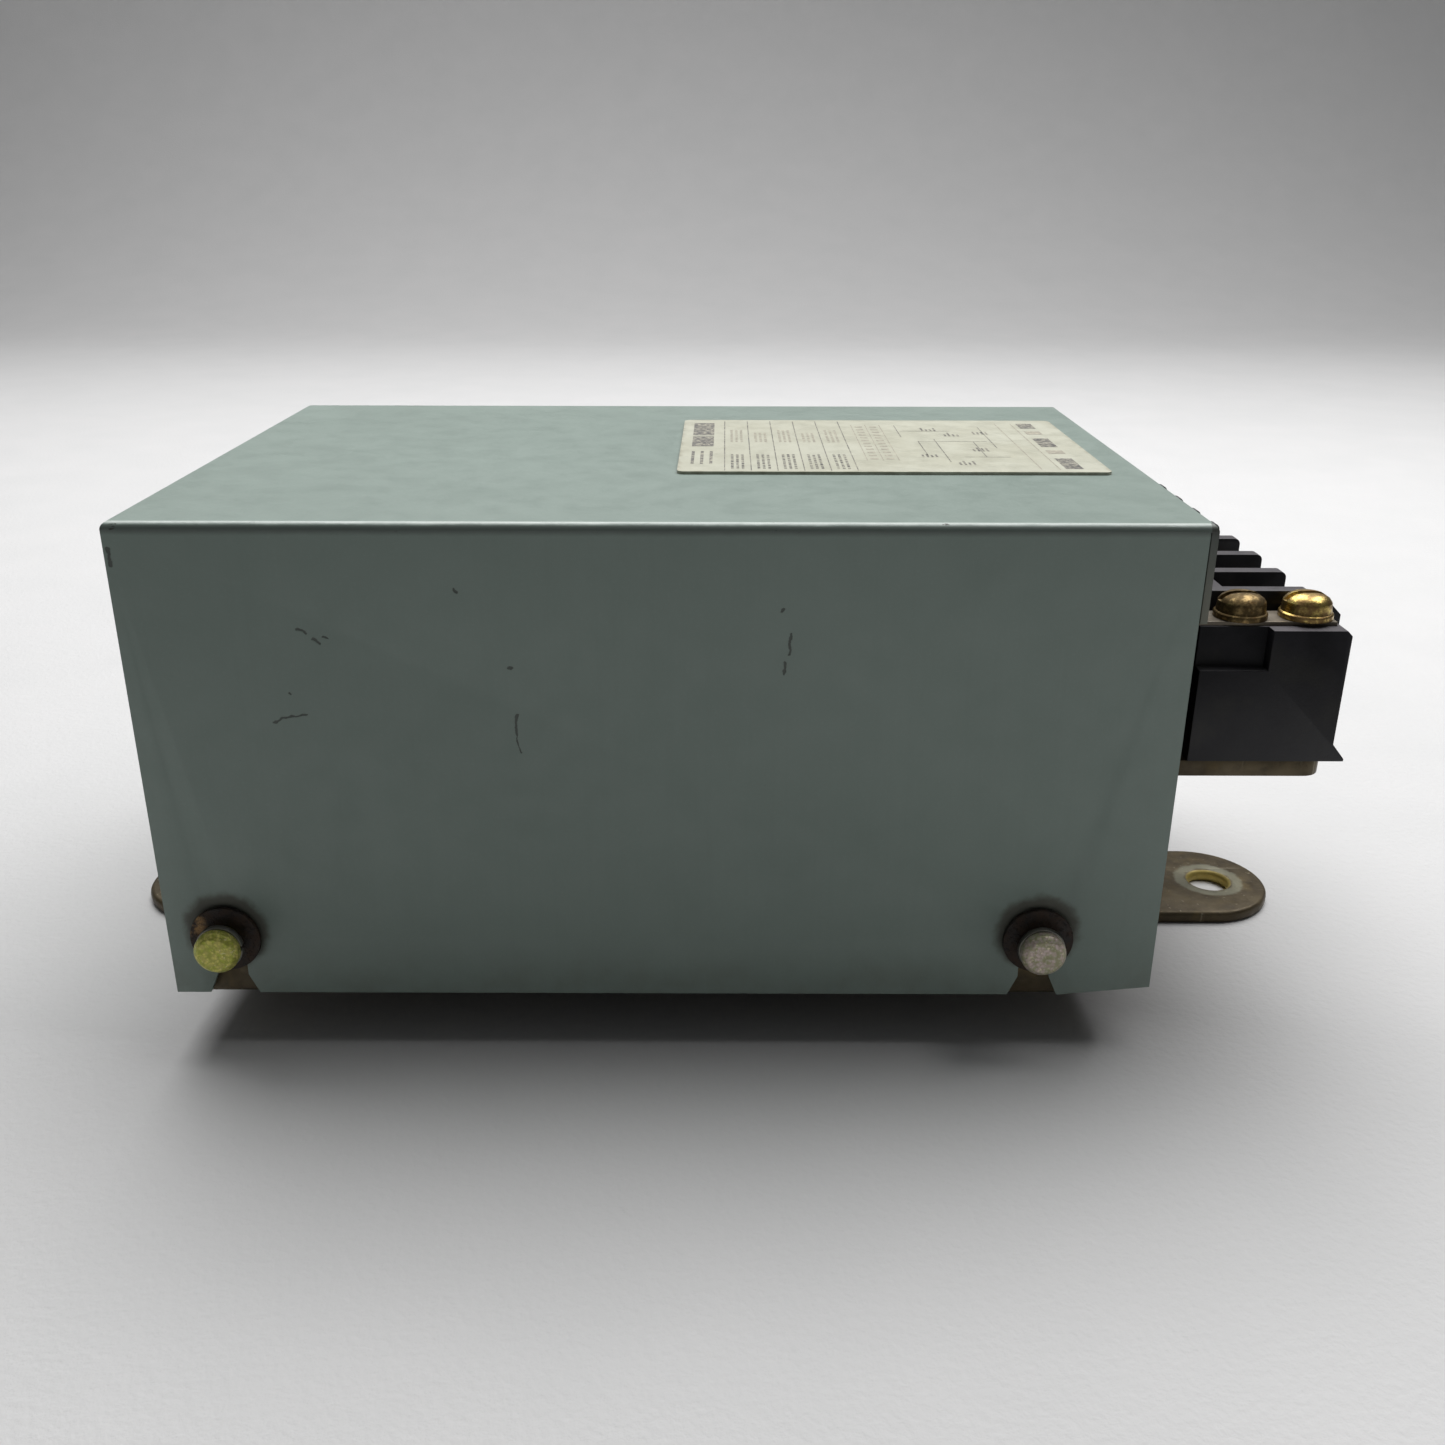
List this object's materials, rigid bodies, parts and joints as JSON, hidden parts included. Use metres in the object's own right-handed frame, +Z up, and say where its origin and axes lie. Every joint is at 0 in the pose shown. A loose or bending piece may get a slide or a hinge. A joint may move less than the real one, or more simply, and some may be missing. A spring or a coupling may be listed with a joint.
{
  "type": "solid state relay",
  "caption": "Chassis-mounted solid state relay: folded steel cover over a tray with power modules and control board, screw terminal block at one end, mounting strap below.",
  "frame": {"origin": "on the mounting surface, midway between the two mounting holes", "axes": "+X along the mounting strap towards the terminal block, +Y to the back, +Z up away from the mounting surface"},
  "size_m": [0.2106, 0.1116, 0.0837],
  "materials": {
    "cover_paint": "grey-green enamel, worn at the bends",
    "nameplate": "printed cream plate, satin",
    "chromated_steel": "brown zinc chromate, dull",
    "cover_screw": "yellow zinc chromate, mottled",
    "dark_washer": "rust-stained, matte",
    "spring_steel": "oxide grey",
    "phenolic": "moulded black phenolic, dusty",
    "brass_bright": "bright brass",
    "brass_aged": "tarnished brass",
    "contact": "tinned brass, dull",
    "aluminium": "extruded, satin",
    "module_case": "moulded epoxy, satin",
    "thermal_pad": "matte",
    "steel_hardware": "zinc plated",
    "fish_paper": "pressed insulating paper, matte",
    "board": "solder-masked laminate",
    "opto": "moulded white",
    "ceramic": "cement, matte",
    "capacitor": "yellow case",
    "varistor": "blue dipped coating",
    "connector": "moulded green",
    "wire_red": "insulated wire",
    "wire_white": "insulated wire"
  },
  "bodies": {
    "chassis": {"chassis": "chromated_steel", "mounting_strap": "chromated_steel", "strap_rivets": "steel_hardware", "cover_washers": "dark_washer", "clinch_nuts": "steel_hardware", "terminal_block": "phenolic", "terminal_contacts": "contact", "block_screws": "steel_hardware", "heat_spreader": "aluminium", "thermal_pads": "thermal_pad", "module_screws": "steel_hardware", "module_studs": "contact", "spreader_screws": "steel_hardware", "board_standoffs": "steel_hardware", "insulating_sheet": "fish_paper", "circuit_board": "board", "board_screws": "steel_hardware", "optocouplers": "opto", "snubber_resistors": "ceramic", "snubber_capacitors": "capacitor", "varistors": "varistor", "control_connector": "connector", "load_wires": "wire_red", "control_wires": "wire_white", "power_module_1": "module_case", "power_module_2": "module_case", "power_module_3": "module_case"},
    "cover": {"cover": "cover_paint", "nameplate": "nameplate"},
    "cover_screw_front_left": {"cover_screw_front_left": "cover_screw", "spring_washer_front_left": "spring_steel"},
    "cover_screw_back_left": {"cover_screw_back_left": "cover_screw", "spring_washer_back_left": "spring_steel"},
    "cover_screw_front_right": {"cover_screw_front_right": "cover_screw", "spring_washer_front_right": "spring_steel"},
    "cover_screw_back_right": {"cover_screw_back_right": "cover_screw", "spring_washer_back_right": "spring_steel"},
    "terminal_screw_inner_1": {"terminal_screw_inner_1": "brass_aged"},
    "terminal_screw_outer_1": {"terminal_screw_outer_1": "brass_bright"},
    "terminal_screw_outer_2": {"terminal_screw_outer_2": "brass_bright"},
    "terminal_screw_outer_3": {"terminal_screw_outer_3": "brass_bright"},
    "terminal_screw_outer_4": {"terminal_screw_outer_4": "brass_bright"},
    "terminal_screw_outer_5": {"terminal_screw_outer_5": "brass_bright"},
    "terminal_screw_outer_6": {"terminal_screw_outer_6": "brass_bright"},
    "terminal_screw_outer_7": {"terminal_screw_outer_7": "brass_bright"},
    "terminal_screw_outer_8": {"terminal_screw_outer_8": "brass_bright"}
  },
  "joints": [
    {"name": "cover_lift", "type": "slide", "parent": "chassis", "child": "cover", "axis": [0, 0, 1], "range_m": [0, 0.09]},
    {"name": "cover_screw_front_left_travel", "type": "slide", "parent": "chassis", "child": "cover_screw_front_left", "axis": [0, -1, 0], "range_m": [-0.0016, 0.003]},
    {"name": "cover_screw_back_left_travel", "type": "slide", "parent": "chassis", "child": "cover_screw_back_left", "axis": [0, 1, 0], "range_m": [-0.0016, 0.003]},
    {"name": "cover_screw_front_right_travel", "type": "slide", "parent": "chassis", "child": "cover_screw_front_right", "axis": [0, -1, 0], "range_m": [-0.0016, 0.003]},
    {"name": "cover_screw_back_right_travel", "type": "slide", "parent": "chassis", "child": "cover_screw_back_right", "axis": [0, 1, 0], "range_m": [-0.0016, 0.003]},
    {"name": "terminal_screw_inner_1_turn", "type": "hinge", "parent": "chassis", "child": "terminal_screw_inner_1", "pos_m": [0.0786, -0.0383, 0.0667], "axis": [0, 0, 1], "continuous": true},
    {"name": "terminal_screw_outer_1_turn", "type": "hinge", "parent": "chassis", "child": "terminal_screw_outer_1", "pos_m": [0.0882, -0.0383, 0.0667], "axis": [0, 0, 1], "continuous": true},
    {"name": "terminal_screw_outer_2_turn", "type": "hinge", "parent": "chassis", "child": "terminal_screw_outer_2", "pos_m": [0.0882, -0.0279, 0.0622], "axis": [0, 0, 1], "continuous": true},
    {"name": "terminal_screw_outer_3_turn", "type": "hinge", "parent": "chassis", "child": "terminal_screw_outer_3", "pos_m": [0.0882, -0.0175, 0.0622], "axis": [0, 0, 1], "continuous": true},
    {"name": "terminal_screw_outer_4_turn", "type": "hinge", "parent": "chassis", "child": "terminal_screw_outer_4", "pos_m": [0.0882, -0.0071, 0.0622], "axis": [0, 0, 1], "continuous": true},
    {"name": "terminal_screw_outer_5_turn", "type": "hinge", "parent": "chassis", "child": "terminal_screw_outer_5", "pos_m": [0.0882, 0.0033, 0.0622], "axis": [0, 0, 1], "continuous": true},
    {"name": "terminal_screw_outer_6_turn", "type": "hinge", "parent": "chassis", "child": "terminal_screw_outer_6", "pos_m": [0.0882, 0.0137, 0.0622], "axis": [0, 0, 1], "continuous": true},
    {"name": "terminal_screw_outer_7_turn", "type": "hinge", "parent": "chassis", "child": "terminal_screw_outer_7", "pos_m": [0.0882, 0.0241, 0.0622], "axis": [0, 0, 1], "continuous": true},
    {"name": "terminal_screw_outer_8_turn", "type": "hinge", "parent": "chassis", "child": "terminal_screw_outer_8", "pos_m": [0.0882, 0.0345, 0.0622], "axis": [0, 0, 1], "continuous": true}
  ]
}
